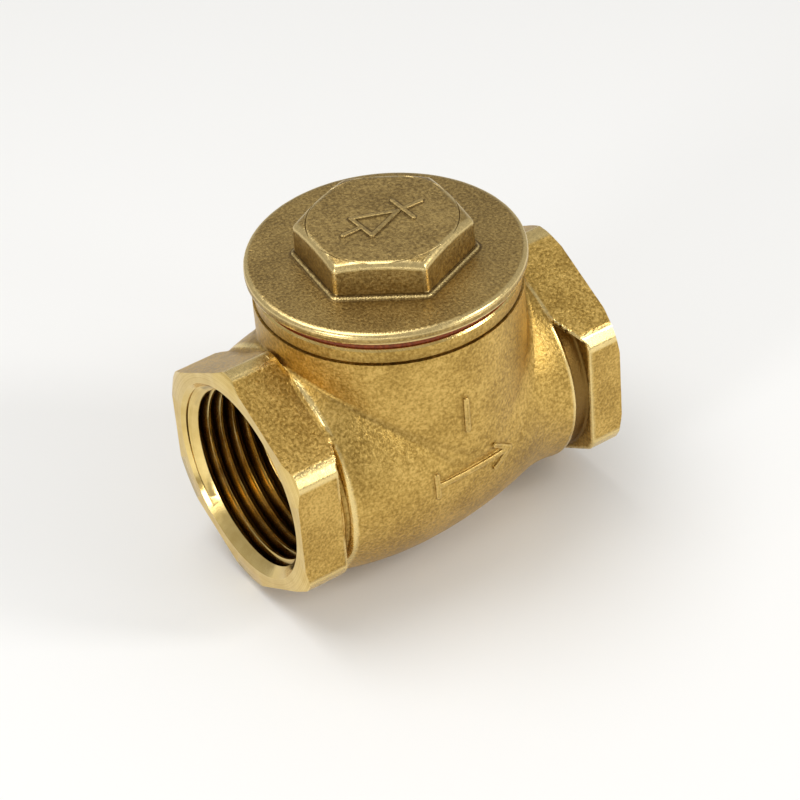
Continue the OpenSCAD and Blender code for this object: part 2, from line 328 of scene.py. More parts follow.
overcut = 1.0
mouth_r = 17.2
port_crest_r = 15.15
port_root_r = 16.6
port_pitch = 2.309
port_depth = 12.6
port_shoulder = 1.4
facing_r = 30.0
seat_x = 17.2
seat_lean = 6.0
seat_hole_r = 12.0
seat_land_r = 13.8
seat_cavity_r = 15.4
cavity_r = 15.6
cavity_x0 = 20.2
cavity_x1 = overall_length - port_depth + 0.2
swing_r = 17.2
swing_x0 = 24.5
swing_x1 = 47.5
chamber_r = 16.6
chamber_x = cap_x + 1.1
neck_pitch = 1.5
neck_crest_r = 17.12
neck_root_r = 17.95
neck_thread_z = 21.9
neck_mouth_h = 0.9
pin_x = 20.0
pin_z = 18.5
pin_r = 1.5
pin_end_y = -13.6
plug_face_y = 14.5
plug_tap_y = 8.8
plug_thread_r = 2.95
plug_mouth_r = 3.2
spot_face_r = 4.2


def soften(corners):
    """Rounds the corners (a, b, radius) of a closed outline with arcs."""
    outline = []
    for i, (a, b, *radius) in enumerate(corners):
        here = Vector((a, b))
        back = (Vector(corners[i - 1][:2]) - here).normalized()
        ahead = (Vector(corners[(i + 1) % len(corners)][:2]) - here).normalized()
        half = back.angle(ahead, math.pi) / 2
        if not radius or half > math.radians(88):
            outline.append((a, b))
            continue
        centre = here + (back + ahead).normalized() * radius[0] / math.sin(half)
        reach = radius[0] / math.tan(half)
        start, end = (here + way * reach - centre for way in (back, ahead))
        angle = math.atan2(start.y, start.x)
        sweep = (math.atan2(end.y, end.x) - angle + math.pi) % math.tau - math.pi
        steps = max(2, round(abs(sweep) / math.radians(18)))
        for k in range(steps + 1):
            t = angle + sweep * k / steps
            outline.append((centre.x + radius[0] * math.cos(t), centre.y + radius[0] * math.sin(t)))
    return outline


def turned(name, corners, steps=144):
    """A closed solid of revolution about Z from a profile of (radius, height, corner radius) points
    that runs anticlockwise with the radius to the right."""
    profile = soften(corners)
    points, rings = [], []
    for r, z in profile:
        around = steps if r > 1e-6 else 1
        rings.append([len(points) + k % around for k in range(steps)])
        points += [(r * math.cos(math.tau * k / steps), r * math.sin(math.tau * k / steps), z)
                   for k in range(around)]
    faces = []
    for near, far in zip(rings, rings[1:] + rings[:1]):
        for k in range(steps):
            face = [near[k - 1], near[k], far[k], far[k - 1]]
            face = [v for n, v in enumerate(face) if v != face[n - 1]]
            if len(face) > 2:
                faces.append(face)
    return new_mesh(name, points, faces)


def rod(name, radius, start, end, steps=144):
    """A plain cylinder along Z."""
    return turned(name, [(0, start), (radius, start), (radius, end), (0, end)], steps)


def lay(piece, place, turn=0.0, axis="Y"):
    """Moves a piece made along Z to its place in the valve, with the place in its mesh."""
    spin = Matrix.Rotation(math.radians(turn), 4, axis)
    piece.data.transform(Matrix.Translation(Vector(place) * MM) @ spin)
    return piece


def machine(piece, tool, operation="DIFFERENCE"):
    """Takes a tool's shape out of a piece, joins it on, or keeps what both share. The tool goes."""
    change = piece.modifiers.new(operation.lower(), "BOOLEAN")
    change.operation = operation
    change.solver = "MANIFOLD"
    change.object = tool
    settle_modifiers(piece)
    bpy.data.objects.remove(tool)
    return piece


def settle_modifiers(piece):
    """Makes what the modifiers give the piece's own plain mesh."""
    graph = bpy.context.evaluated_depsgraph_get()
    mesh = bpy.data.meshes.new_from_object(piece.evaluated_get(graph))
    piece.modifiers.clear()
    piece.data = mesh


def add_node(tree, kind, links=None, values=None, **settings):
    """Adds a node with its settings, its inputs' values and the sockets that feed them."""
    node = tree.nodes.new(kind)
    for key, value in settings.items():
        setattr(node, key, value)
    for key, value in (values or {}).items():
        node.inputs[key].default_value = value
    for key, value in (links or {}).items():
        tree.links.new(value, node.inputs[key])
    return node


def calc(tree, operation, *terms):
    """A calculation with one to three terms, each a socket or a number."""
    node = add_node(tree, "ShaderNodeMath", operation=operation)
    for socket, term in zip(node.inputs, terms):
        if isinstance(term, (int, float)):
            socket.default_value = term
        else:
            tree.links.new(term, socket)
    return node.outputs[0]


def build_thread_tree():
    """Geometry Nodes that cut a right-hand thread on a blank: a strip follows the helix, its turns
    weld into a closed threaded bar along Z, and the bar is kept where the blank is."""
    tree = bpy.data.node_groups.new("thread cutting", "GeometryNodeTree")
    sockets = (("Blank", "Geometry"), ("Crest radius", "Float"), ("Root radius", "Float"),
               ("Pitch", "Float"), ("Start", "Float"), ("End", "Float"),
               ("Steps per turn", "Int"), ("Steps per pitch", "Int"), ("Finish", "Material"))
    for name, kind in sockets:
        tree.interface.new_socket(name, in_out="INPUT", socket_type="NodeSocket" + kind)
    tree.interface.new_socket("Thread", in_out="OUTPUT", socket_type="NodeSocketGeometry")
    given = tree.nodes.new("NodeGroupInput").outputs

    pitch = given["Pitch"]
    length = calc(tree, "SUBTRACT", given["End"], given["Start"])
    turns = calc(tree, "ADD", calc(tree, "CEIL", calc(tree, "DIVIDE", length, pitch)), 3)
    strip = add_node(tree, "GeometryNodeMeshGrid", {
        "Vertices X": calc(tree, "ADD", calc(tree, "MULTIPLY", turns, given["Steps per turn"]), 1),
        "Vertices Y": calc(tree, "ADD", given["Steps per pitch"], 1)}, {"Size X": 1, "Size Y": 1})
    here = add_node(tree, "GeometryNodeInputPosition").outputs[0]
    flat = add_node(tree, "ShaderNodeSeparateXYZ", {"Vector": here})
    turn = calc(tree, "MULTIPLY", calc(tree, "ADD", flat.outputs["X"], 0.5), turns)
    side = calc(tree, "ADD", flat.outputs["Y"], 0.5)
    height = calc(tree, "ADD", turn, side)
    first = calc(tree, "LESS_THAN", height, 1.0005)
    last = calc(tree, "GREATER_THAN", height, calc(tree, "SUBTRACT", turns, 0.0005))
    middle = calc(tree, "SUBTRACT", calc(tree, "SUBTRACT", 1, first), last)
    level = calc(tree, "ADD", calc(tree, "MULTIPLY", height, middle),
                 calc(tree, "MULTIPLY", last, calc(tree, "ADD", turns, 1)))
    level = calc(tree, "MULTIPLY", calc(tree, "SUBTRACT", level, 2), pitch)
    flank = calc(tree, "ABSOLUTE", calc(tree, "SUBTRACT", calc(tree, "MULTIPLY", side, 2), 1))
    radius = add_node(tree, "ShaderNodeMapRange", {
        "Value": flank, "To Min": given["Crest radius"], "To Max": given["Root radius"]},
        {"From Min": 0.14, "From Max": 0.9}, interpolation_type="SMOOTHSTEP").outputs["Result"]
    radius = calc(tree, "MULTIPLY", radius, middle)
    angle = calc(tree, "MULTIPLY", turn, math.tau)
    place = add_node(tree, "ShaderNodeCombineXYZ", {
        "X": calc(tree, "MULTIPLY", radius, calc(tree, "COSINE", angle)),
        "Y": calc(tree, "MULTIPLY", radius, calc(tree, "SINE", angle)),
        "Z": calc(tree, "ADD", given["Start"], level)})
    bar = add_node(tree, "GeometryNodeSetPosition", {
        "Geometry": strip.outputs["Mesh"], "Position": place.outputs[0]})
    bar = add_node(tree, "GeometryNodeMergeByDistance", {"Geometry": bar.outputs[0]},
                   {"Distance": 0.001 * MM})
    cut = add_node(tree, "GeometryNodeMeshBoolean", {"Mesh 2": given["Blank"]},
                   operation="INTERSECT", solver="MANIFOLD")
    tree.links.new(bar.outputs[0], cut.inputs["Mesh 2"])
    real = add_node(tree, "GeometryNodeRealizeInstances", {"Geometry": cut.outputs["Mesh"]})
    done = add_node(tree, "GeometryNodeSetMaterial", {
        "Geometry": real.outputs[0], "Material": given["Finish"]})
    add_node(tree, "NodeGroupOutput", {"Thread": done.outputs[0]})
    return tree


thread_tree = build_thread_tree()


def cut_thread(blank, sizes, finish=None, steps=112, rows=12):
    """Cuts a thread on a blank that lies along Z. sizes are crest and root radius, pitch and ends."""
    change = blank.modifiers.new("thread", "NODES")
    change.node_group = thread_tree
    crest, root, pitch, start, end = (size * MM for size in sizes)
    values = {"Crest radius": crest, "Root radius": root, "Pitch": pitch, "Start": start, "End": end,
              "Steps per turn": steps, "Steps per pitch": rows, "Finish": finish}
    for socket in thread_tree.interface.items_tree:
        if socket.in_out == "INPUT" and socket.name in values:
            change[socket.identifier] = values[socket.name]
    settle_modifiers(blank)
    return blank


def tapped_port():
    """What the facing tool, the chamfer and the tap take out of one end, made along Z."""
    past = mouth_r - port_crest_r
    tap = turned("tap", [(0, -overcut), (port_root_r + overcut, -overcut),
                         (port_root_r + overcut, port_depth, 0.6), (0, port_depth)])
    cut_thread(tap, (port_root_r, port_crest_r, port_pitch, -overcut, port_depth))
    chamfer = turned("chamfer", [(0, -overcut), (mouth_r + overcut, -overcut),
                                 (port_crest_r - overcut, past + overcut), (0, past + overcut)])
    facing = turned("facing", [(0, -5), (facing_r, -5), (facing_r, 8), (turned_corner_r + 5, 3.2),
                               (end_face_r, 0), (0, 0)])
    return machine(machine(facing, chamfer, "UNION"), tap, "UNION")


machine(machine(body, arrow, "UNION"), bar, "UNION")
machine(body, lay(tapped_port(), (0, 0, 0), 90))
machine(body, lay(tapped_port(), (overall_length, 0, 0), -90))
bore = turned("bore", [
    (0, port_depth - 0.2), (port_crest_r, port_depth - 0.2), (port_crest_r, port_depth, 0.3),
    (seat_hole_r, port_depth + port_shoulder, 0.5), (seat_hole_r, pin_x), (0, pin_x)])
machine(body, lay(bore, (0, 0, 0), 90))
seat = turned("seat", [
    (0, 0), (seat_land_r, 0), (seat_land_r, -1, 0.2), (seat_cavity_r, -1, 0.3), (seat_cavity_r, 8), (0, 8)])
machine(body, lay(seat, (seat_x, 0, 0), 90 - seat_lean))
swing_run = swing_r - cavity_r
swing = turned("swing", [
    (0, cavity_x0), (cavity_r, cavity_x0), (cavity_r, swing_x0), (swing_r, swing_x0 + swing_run, 0.5),
    (swing_r, swing_x1 - swing_run, 0.5), (cavity_r, swing_x1, 0.3), (cavity_r, cavity_x1, 0.3),
    (0, cavity_x1)])
machine(body, lay(swing, (0, 0, 0), 90))
machine(body, lay(rod("chamber", chamber_r, 0, neck_thread_z + 0.5), (chamber_x, 0, 0)))
neck_tap = rod("neck tap", neck_root_r + 0.5, neck_thread_z, rim_z + 2)
cut_thread(neck_tap, (neck_root_r, neck_crest_r, neck_pitch, neck_thread_z, rim_z + 2), None, 144, 10)
collar_z = rim_z - collar_h
line_z = collar_z - collar_groove_h
rim = turned("rim", [
    (0, rim_z - neck_mouth_h), (neck_crest_r - 0.1, rim_z - neck_mouth_h), (neck_root_r + 0.2, rim_z),
    (collar_r - 0.3, rim_z), (collar_r, rim_z - 0.3), (collar_r, collar_z), (collar_groove_r, collar_z),
    (collar_groove_r, line_z), (neck_r - 0.1, line_z), (neck_r + 3, line_z - 0.6), (neck_r + 3, rim_z + 4),
    (0, rim_z + 4)])
machine(body, lay(machine(rim, neck_tap, "UNION"), (cap_x, 0, 0)))
pin_hole = turned("pin hole", [
    (0, pin_end_y - 0.1), (pin_r + 0.03, pin_end_y - 0.1), (pin_r + 0.03, plug_tap_y),
    (plug_thread_r, plug_tap_y + 1.4), (plug_thread_r, plug_face_y - 0.3), (plug_mouth_r, plug_face_y),
    (spot_face_r, plug_face_y, 0.1), (spot_face_r, neck_r + 2), (0, neck_r + 2)], steps=64)
machine(body, lay(pin_hole, (pin_x, 0, pin_z), -90, "X"))


def new_material(name, metallic, **shader_values):
    """A material with its Principled shader, whose plain values sit on its own sockets."""
    material = bpy.data.materials.new(name)
    material.use_nodes = True
    tree = material.node_tree
    shader = tree.nodes["Principled BSDF"]
    shader.inputs["Metallic"].default_value = metallic
    for key, value in shader_values.items():
        shader.inputs[key.replace("_", " ")].default_value = value
    return material, tree, shader


def object_place(tree, place=(0, 0, 0), turn=(0, 0, 0)):
    """Object coordinates measured from a piece's own axis, which becomes Z."""
    coordinates = add_node(tree, "ShaderNodeTexCoord")
    rotation = [math.radians(a) for a in turn]
    mapping = add_node(tree, "ShaderNodeMapping", {"Vector": coordinates.outputs["Object"]}, {
        "Location": Vector(place) * MM, "Rotation": rotation}, vector_type="TEXTURE")
    return mapping.outputs[0]


def noise(tree, place, size, detail=3.0, roughness=0.55):
    """Noise with features of about that size in millimetres."""
    return add_node(tree, "ShaderNodeTexNoise", {"Vector": place}, {
        "Scale": 1 / (size * MM), "Detail": detail, "Roughness": roughness}).outputs["Fac"]


def tones(tree, factor, *stops):
    """A colour ramp with (position, colour) stops."""
    ramp = add_node(tree, "ShaderNodeValToRGB", {"Fac": factor})
    for element in list(ramp.color_ramp.elements)[1:]:
        ramp.color_ramp.elements.remove(element)
    for i, (position, colour) in enumerate(stops):
        element = ramp.color_ramp.elements[0] if i == 0 else ramp.color_ramp.elements.new(position)
        element.position = position
        element.color = (*colour, 1)
    return ramp.outputs["Color"]


def blend_colour(tree, factor, a, b):
    """Goes from colour a to colour b with the factor."""
    mix = add_node(tree, "ShaderNodeMix", {0: factor, 6: a}, {7: (*b, 1)}, data_type="RGBA")
    return mix.outputs[2]


def span(tree, factor, low, high, start=0.3, stop=0.7):
    """Spreads a factor between start and stop over low to high."""
    return add_node(tree, "ShaderNodeMapRange", {"Value": factor}, {
        "From Min": start, "From Max": stop, "To Min": low, "To Max": high}).outputs["Result"]


def dress(tree, shader, colour, roughness, height, strength, distance):
    """Feeds a shader its colour, its roughness and the height of its grain over so many millimetres."""
    bump = add_node(tree, "ShaderNodeBump", {"Height": height}, {
        "Strength": strength, "Distance": distance * MM})
    tree.links.new(colour, shader.inputs["Base Color"])
    tree.links.new(roughness, shader.inputs["Roughness"])
    tree.links.new(bump.outputs[0], shader.inputs["Normal"])


def forged_brass(name, dark, middle, light, pale, shade_tone, rough, shade_strength):
    """Shot-blasted forging: fine dimpled grain, faint clouds and small pits, painted paler along its
    edges, partly as rubbed metal and partly as a painted highlight, and darker in its hollows as painted
    shade."""
    cloud_size, grain_size, blast_size, pit_spacing = 7.0, 0.5, 0.28, 1.9
    material, tree, shader = new_material(name, 1.0)
    place = object_place(tree)
    cloud = noise(tree, place, cloud_size)
    grain = noise(tree, place, grain_size, 3.0, 0.65)
    blast = noise(tree, place, blast_size, 2.0)
    speckle = calc(tree, "ADD", calc(tree, "MULTIPLY", cloud, 0.3), calc(tree, "MULTIPLY", grain, 0.7))
    colour = tones(tree, speckle, (0.38, dark), (0.5, middle), (0.62, light))
    wear_and_sheen, painted_shade = (add_node(tree, "ShaderNodeAttribute", attribute_name=kind).outputs["Fac"]
                   for kind in ("wear_and_sheen", "painted_shade"))
    # Paler along convex edges and the hexagon corner strips: rubbed metal, and partly a painted highlight.
    colour = blend_colour(tree, calc(tree, "MULTIPLY", wear_and_sheen, 0.7), colour, pale)
    # Painted shade: darker in hollows, in dark cuts and in the groove before the outlet's hexagon.
    colour = blend_colour(tree, calc(tree, "MULTIPLY", painted_shade, shade_strength), colour, shade_tone)
    shine = span(tree, grain, rough - 0.06, rough + 0.1)
    shine = calc(tree, "SUBTRACT", shine, calc(tree, "MULTIPLY", wear_and_sheen, 0.12))
    pits = add_node(tree, "ShaderNodeTexVoronoi", {"Vector": place}, {"Scale": 1 / (pit_spacing * MM)})
    pits = span(tree, pits.outputs["Distance"], 0, 1, 0.05, 0.2)
    height = calc(tree, "ADD", grain, calc(tree, "MULTIPLY", blast, 0.5))
    height = calc(tree, "ADD", height, calc(tree, "MULTIPLY", pits, 0.35))
    height = calc(tree, "MULTIPLY", height, span(tree, wear_and_sheen, 1, 0.15, 0, 0.8))
    dress(tree, shader, colour, shine, height, 0.6, 0.15)
    return material


def turned_metal(name, dark, light, rough, place=(0, 0, 0), turn=(0, 0, 0), mark=0.5, shade_strength=0.0):
    """Metal turned on a lathe round its own axis: fine rings from the tool, in colour and height, with
    painted shade darkening thread roots and cuts, by the given strength."""
    # The near-black colour is painted shade for thread roots and cuts.
    ring_size, cloud_size, shade_tone = 0.3, 4.0, (0.05, 0.022, 0.005)
    material, tree, shader = new_material(name, 1.0)
    own = object_place(tree, place, turn)
    flat = add_node(tree, "ShaderNodeVectorMath", {0: own}, {1: (1, 1, 0)}, operation="MULTIPLY").outputs[0]
    radius = add_node(tree, "ShaderNodeVectorMath", {0: flat}, operation="LENGTH").outputs["Value"]
    depth = add_node(tree, "ShaderNodeSeparateXYZ", {"Vector": own}).outputs["Z"]
    rings = add_node(tree, "ShaderNodeTexNoise", {"W": calc(tree, "ADD", radius, depth)}, {
        "Scale": 1 / (ring_size * MM), "Detail": 3.0}, noise_dimensions="1D").outputs["Fac"]
    cloud = noise(tree, own, cloud_size)
    mixed = calc(tree, "ADD", calc(tree, "MULTIPLY", rings, 0.5), calc(tree, "MULTIPLY", cloud, 0.5))
    colour = tones(tree, mixed, (0.35, dark), (0.65, light))
    # Painted shade in thread roots and cuts.
    if shade_strength:
        painted_shade = add_node(tree, "ShaderNodeAttribute", attribute_name="painted_shade").outputs["Fac"]
        colour = blend_colour(tree, calc(tree, "MULTIPLY", painted_shade, shade_strength), colour, shade_tone)
    dress(tree, shader, colour, span(tree, cloud, rough - 0.05, rough + 0.08), rings, mark, 0.05)
    return material


def shade(piece, *materials, sharp=32.0):
    """Gives a piece its materials and smooth faces that stay crisp at its edges."""
    piece.data.materials.clear()
    for material in materials:
        piece.data.materials.append(material)
    piece.data.polygons.foreach_set("use_smooth", [True] * len(piece.data.polygons))
    piece.data.set_sharp_from_angle(angle=math.radians(sharp))
    return piece


def finish_forging(piece, distance, marks, also_forged, cut_shade, sheen_and_shade_of):
    """Tells forged faces from machined ones, shades the forged ones by their true slope, and stores
    for each point how much paler it is painted, as rubbed metal and as a painted highlight, and how much
    painted shade it gets, from how sharply the forging turns there. The last three pick out cut faces
    that look forged, how much painted shade each cut gets, and forged stretches that get a painted
    highlight on rubbed metal (above 0) or painted shade (below 0)."""
    on_skin, reach = 0.06, 0.4
    mesh = piece.data
    points = np.array([v.co for v in mesh.vertices]) / MM
    middles = np.array([f.center for f in mesh.polygons]) / MM

    def marked(places):
        return np.minimum(distance(places), marks(places))

    near = np.abs(marked(points)) < on_skin
    corner_point = np.array([c.vertex_index for c in mesh.loops])
    counts = np.array([f.loop_total for f in mesh.polygons])
    starts = np.concatenate([[0], np.cumsum(counts)[:-1]])
    forged = np.minimum.reduceat(near[corner_point].astype(int), starts).astype(bool)
    facing = np.array([f.normal for f in mesh.polygons])
    agree = (facing * slope_of(marked, middles)).sum(axis=1)
    forged &= (np.abs(marked(middles)) < 0.1) & (agree > 0.7)
    mesh.polygons.foreach_set("material_index", np.where(forged | also_forged(middles), 0, 1))
    around = sum(marked(points + s * m) for m in reach * np.eye(3) for s in (-1, 1))
    turning = np.where(near, (around - 6 * marked(points)) / reach ** 2, 0)
    on_mark = marks(points) < 0.1
    # Paler on convex edges, as rubbed metal and partly as a painted highlight; painted shade in hollows where
    # the forging turns inward.
    wear_and_sheen = smooth_step((turning - 0.25) / 0.9) * np.where(on_mark, 0.25, 1)
    # Painted highlight on the hexagon corner strips, and painted shade in the outlet's groove.
    sheen_and_shade = sheen_and_shade_of(points).astype(float)
    wear_and_sheen = np.maximum(wear_and_sheen, 0.85 * sheen_and_shade)
    painted_shade = np.maximum(smooth_step((-turning - 0.2) / 0.9), np.where(near, -sheen_and_shade, cut_shade(points)))
    for name, amount in (("wear_and_sheen", wear_and_sheen), ("painted_shade", painted_shade)):
        mesh.attributes.new(name, "FLOAT", "POINT").data.foreach_set("value", amount)
    normals = np.array([n.vector for n in mesh.corner_normals])
    on_forged = np.repeat(forged, counts)
    normals[on_forged] = slope_of(marked, points[corner_point[on_forged]])
    mesh.normals_split_custom_set(normals.tolist())


def nowhere(places):
    """Picks out none of the places."""
    return np.zeros(len(places), bool)


def collar_side(places):
    """The collar and the line under it are cut before the forging is blasted, so they have its grain."""
    off_axis = np.hypot(places[:, 0] - cap_x, places[:, 1])
    height = places[:, 2]
    return (off_axis > collar_groove_r - 0.1) & (height > line_z - 0.35) & (height < rim_z - 0.35)


def painted_shade_in_cuts(places):
    """Painted shade: the line under the collar and the roots of both pipe threads are painted dark."""
    line = collar_side(places) & (places[:, 2] < collar_z + 0.01)
    depth = np.minimum(places[:, 0], overall_length - places[:, 0])
    radius = np.hypot(places[:, 1], places[:, 2])
    in_thread = (depth > 1.6) & (depth < port_depth + 1) & (radius < port_root_r + 0.2)
    root = smooth_step((radius - port_crest_r) / (port_root_r - port_crest_r))
    return np.maximum(line, root * in_thread)


def hexagon_sheen_and_shade(places):
    """The strips along the corners of both hexagons are painted pale, as rubbed metal and as a painted
    highlight, and the groove in front of the outlet's hexagon is darkened with painted shade."""
    radius = np.hypot(places[:, 1], places[:, 2])
    on_hexagon = np.abs(places[:, 0] - cap_x) > cap_x - inlet_hex_w
    on_strip = on_hexagon & (np.abs(radius - hex_corner_r) < 0.07)
    in_groove = smooth_step((outlet_groove_r + 0.7 - radius) / 0.5) * (places[:, 0] > barrel_x1 - 0.5)
    return on_strip - groove_shade * in_groove


# Its darkest colour is painted shade for hollows, cuts and the outlet's groove; its palest is for rubbed
# edges and painted highlights.
body_brass = forged_brass(
    "body brass", dark=(0.33, 0.20, 0.045), middle=(0.52, 0.335, 0.085), light=(0.71, 0.48, 0.145),
    pale=(0.93, 0.74, 0.34), shade_tone=(0.16, 0.085, 0.02), rough=0.36, shade_strength=0.3)
# Painted shade darkens its thread roots and the line under the collar.
machined_brass = turned_metal(
    "machined brass", dark=(0.62, 0.42, 0.12), light=(0.86, 0.66, 0.27), rough=0.17, turn=(0, 90, 0),
    shade_strength=0.95)
shade(body, body_brass, machined_brass)
finish_forging(body, forged_body, body_marks, collar_side, painted_shade_in_cuts, hexagon_sheen_and_shade)
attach(body, "valve_body")
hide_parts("body")


# ---- Cap gasket --------------------------------------------------------------------------------
# A flat ring of red-brown vulcanised fibre, stamped from sheet, that the cap squeezes on the rim. It
# lies back from the edge of the flange, so it shows as a thin dark line with a red glow.

gasket_low, gasket_high = (np.array(corner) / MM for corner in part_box("cap_gasket"))
gasket_r = (gasket_high[1] - gasket_low[1]) / 2
gasket_hole_r = 17.5
gasket_z0, gasket_z1 = gasket_low[2], gasket_high[2]
ply_h = (gasket_z1 - gasket_z0) / 3
ply_r = gasket_r - 0.05
seam_r = gasket_r - 0.12
seam_w = 0.05
seam_z0, seam_z1 = gasket_z0 + ply_h, gasket_z1 - ply_h
gasket = turned("cap_gasket", [
    (gasket_hole_r, gasket_z0, 0.1), (ply_r, gasket_z0, 0.15), (ply_r, seam_z0 - seam_w), (seam_r, seam_z0),
    (gasket_r, seam_z0 + seam_w), (gasket_r, seam_z1 - seam_w), (seam_r, seam_z1), (ply_r, seam_z1 + seam_w),
    (ply_r, gasket_z1, 0.15), (gasket_hole_r, gasket_z1, 0.1)])
lay(gasket, (cap_x, 0, 0))


def pressed_fibre():
    """Vulcanised fibre: red-brown, matt, with short flecks."""
    material, tree, shader = new_material("pressed fibre", 0.0)
    place = object_place(tree)
    flecks = noise(tree, place, 0.6, 5.0, 0.7)
    dark, middle, light = (0.13, 0.022, 0.006), (0.27, 0.055, 0.012), (0.42, 0.11, 0.03)
    colour = tones(tree, flecks, (0.35, dark), (0.55, middle), (0.7, light))
    dress(tree, shader, colour, span(tree, flecks, 0.6, 0.8), flecks, 0.4, 0.05)
    return material


fibre = pressed_fibre()
shade(gasket, fibre)
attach(gasket, "gasket_ring")
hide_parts("cap_gasket")


# ---- Cap ---------------------------------------------------------------------------------------
# A forged brass cap, browner than the body: a round flange with soft edges and a spanner hexagon with
# a fillet at its foot. Below the flange it is turned, threaded to screw into the neck, and hollowed.

cap_low, cap_high = (np.array(corner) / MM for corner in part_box("cap"))
emblem_h = 0.28
cap_wave_h = 0.006
cap_skin_depth = 0.02
cap_top_z = cap_high[2] - emblem_h - cap_skin_depth
cap_edge_round = 0.85
cap_corner_round = 0.9
cap_foot_w = 0.55
cap_foot_h = 0.4
cap_foot_round = 0.25
cap_foot_fillet = 0.3
flange_r = (cap_high[1] - cap_low[1]) / 2
flange_z = gasket_z1
flange_t = 1.9
flange_top_z = flange_z + flange_t
flange_top_round = 0.75
flange_under_round = 0.35
cap_flats = 25.3
cap_turn = math.radians(23)
cap_draft = 0.03
cap_circle_r = 12.2
cap_circle_w = 0.3
cap_circle_d = 0.2
cap_top_slope = 0.3
plug_bottom_z = cap_low[2]
plug_thread_top_z = plug_bottom_z + 4.6
plug_bevel = 0.9
cap_thread_r = 17.86
cap_thread_root_r = 17.04
plug_root_r = 17.0
cap_hollow_r = 14.4
hollow_shoulder_z = 26.5
hollow_top_r, hollow_top_z = 9, 32


def forged_cap(points):
    """Distance to the cap's flange and hexagon."""
    x, y, z = points[..., 0] - cap_x, points[..., 1], points[..., 2]
    off_axis = np.hypot(x, y)
    flange = rounded(off_axis - flange_r, z - flange_top_z, flange_top_round)
    flange = rounded(flange, flange_z - z, flange_under_round)
    across = y * math.cos(cap_turn) - x * math.sin(cap_turn)
    along = x * math.cos(cap_turn) + y * math.sin(cap_turn)
    flats = hexagon(across, along, cap_flats, cap_corner_round) + cap_draft * (z - flange_top_z)
    top = z - cap_top_z + cap_top_slope * np.maximum(off_axis - cap_circle_r, 0)
    inside_flange = flange_z + 0.5 - z
    head = np.maximum(rounded(flats, top, cap_edge_round), inside_flange)
    foot = rounded(flats - cap_foot_w, z - flange_top_z - cap_foot_h, cap_foot_round)
    foot = np.maximum(foot, inside_flange)
    shape = np.minimum(fillet(flange, foot, cap_foot_fillet), head)
    return shape + cap_skin_depth + forging_waves(points, cap_wave_h)


emblem_half, emblem_w = 3.0, 0.8
wedge_back, wedge_tip, wedge_bar, emblem_end = -4, 3, 3.9, 7.5


def cap_emblem(points):
    """A plain sign on the cap: a wedge that points downstream against a bar."""
    x, y = points[..., 0] - cap_x, points[..., 1]
    wedge = [(wedge_back, emblem_half), (wedge_tip, 0), (wedge_back, -emblem_half)]
    strokes = [*zip(wedge, wedge[1:] + wedge[:1]), ((wedge_bar, -emblem_half), (wedge_bar, emblem_half)),
               ((-emblem_end, 0), (wedge_back, 0)), ((wedge_bar, 0), (emblem_end, 0))]
    outline = np.minimum.reduce([stroke(x, y, start, end, emblem_w) for start, end in strokes])
    return raised(outline, forged_cap(points), emblem_h)


cap_grid, cap_grid_z, spare = 0.3, 0.16, 0.6
cap = surface_mesh("cap", forged_cap, [
    grid_line((cap_x - flange_r - spare, cap_grid), end=cap_x + flange_r + spare),
    grid_line((-flange_r - spare, cap_grid), end=flange_r + spare),
    grid_line((flange_z - spare, cap_grid_z), end=cap_top_z + spare)])
emblem = surface_mesh("emblem", cap_emblem, [
    grid_line((cap_x - emblem_end - 0.9, finest), end=cap_x + emblem_end + 0.9),
    grid_line((-emblem_half - 1, finest), end=emblem_half + 1),
    grid_line((cap_top_z - 0.9, finest), end=cap_top_z + 0.9)])
machine(cap, emblem, "UNION")
circle = turned("circle", [
    (cap_circle_r - 0.02, cap_top_z - cap_circle_d), (cap_circle_r + 0.02, cap_top_z - cap_circle_d),
    (cap_circle_r + cap_circle_w, cap_top_z + 0.3), (cap_circle_r - cap_circle_w, cap_top_z + 0.3)])
machine(cap, lay(circle, (cap_x, 0, 0)))
plug = turned("plug", [
    (0, plug_bottom_z), (cap_thread_r - plug_bevel, plug_bottom_z),
    (cap_thread_r + 0.1, plug_bottom_z + plug_bevel), (cap_thread_r + 0.1, plug_thread_top_z),
    (0, plug_thread_top_z)])
cap_thread = (cap_thread_r, cap_thread_root_r, neck_pitch, neck_thread_z, plug_thread_top_z)
cut_thread(plug, cap_thread, None, 144, 10)
root = rod("root", plug_root_r, plug_bottom_z + 1, flange_z + 0.6)
machine(cap, lay(machine(plug, root, "UNION"), (cap_x, 0, 0)), "UNION")
hollow = turned("hollow", [
    (0, plug_bottom_z - 1), (cap_hollow_r + 1.4, plug_bottom_z - 1), (cap_hollow_r, plug_bottom_z + 0.4),
    (cap_hollow_r, hollow_shoulder_z, 0.5), (hollow_top_r, hollow_top_z, 1.5), (0, hollow_top_z)])
machine(cap, lay(hollow, (cap_x, 0, 0)))
# Its darkest colour is painted shade for its hollows and the circle cut in the cap.
cap_brass = forged_brass(
    "cap brass", dark=(0.23, 0.15, 0.048), middle=(0.37, 0.25, 0.085), light=(0.51, 0.36, 0.13),
    pale=(0.90, 0.70, 0.32), shade_tone=(0.10, 0.06, 0.02), rough=0.38, shade_strength=0.75)
turned_cap = turned_metal(
    "turned cap brass", dark=(0.55, 0.40, 0.15), light=(0.80, 0.62, 0.28), rough=0.26, place=(cap_x, 0, 0))
shade(cap, cap_brass, turned_cap)


def cap_outside(places):
    """Everything above the flange, where the circle is cut before the forging is blasted."""
    return places[:, 2] > flange_top_z


# The circle cut in the cap is painted dark as painted shade.
finish_forging(cap, forged_cap, cap_emblem, cap_outside, cap_outside, nowhere)
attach(cap, "screwed_cap")
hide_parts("cap")


